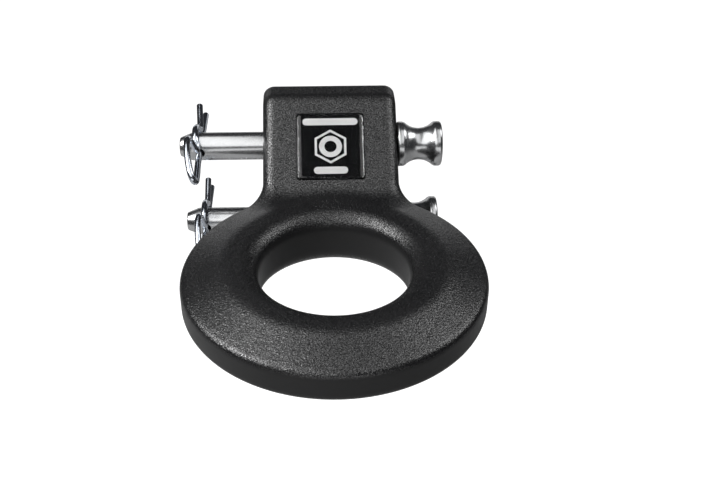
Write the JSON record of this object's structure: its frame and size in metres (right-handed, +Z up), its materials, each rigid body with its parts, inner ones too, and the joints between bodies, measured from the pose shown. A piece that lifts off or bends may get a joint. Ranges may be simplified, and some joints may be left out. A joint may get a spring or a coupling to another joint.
{
  "type": "lunette ring hitch attachment",
  "caption": "Coated forged tow ring with a wedge block, held in a hitch channel by two pins, each kept in by a spring clip.",
  "frame": {"origin": "centre of the block's rear face", "axes": "+Y out of the rear face and away from the ring, +X towards the pin heads, +Z up along the block's height and the ring's axis"},
  "size_m": [0.1625, 0.2145, 0.1016],
  "materials": {
    "black_coat": "gloss black wrinkle-textured coating, smooth satin in the eye and on the rim",
    "adhesive_pad": "foam adhesive pad",
    "badge_print": "black printed plate",
    "badge_mark": "white print",
    "badge_resin": "clear gloss resin over black",
    "pin_steel": "turned and bright zinc plated",
    "clip_wire": "bright zinc plated spring wire"
  },
  "bodies": {
    "body": {"ring_body": "black_coat", "badge_pad": "adhesive_pad", "badge_plate": "badge_print", "badge_dome": "badge_resin"},
    "upper_pin": {"upper_pin": "pin_steel"},
    "lower_pin": {"lower_pin": "pin_steel"},
    "upper_clip": {"upper_clip": "clip_wire"},
    "lower_clip": {"lower_clip": "clip_wire"}
  },
  "joints": [
    {"name": "upper_pin_slide", "type": "slide", "parent": "body", "child": "upper_pin", "axis": [1, 0, 0], "range_m": [0, 0.025]},
    {"name": "lower_pin_slide", "type": "slide", "parent": "body", "child": "lower_pin", "axis": [1, 0, 0], "range_m": [0, 0.025]},
    {"name": "upper_clip_swing", "type": "hinge", "parent": "upper_pin", "child": "upper_clip", "pos_m": [-0.0736, -0.0254, 0.0254], "axis": [0, 1, 0], "range_deg": [-10, 34]},
    {"name": "lower_clip_swing", "type": "hinge", "parent": "lower_pin", "child": "lower_clip", "pos_m": [-0.0736, -0.0254, -0.0254], "axis": [0, 1, 0], "range_deg": [-18, 26]}
  ]
}
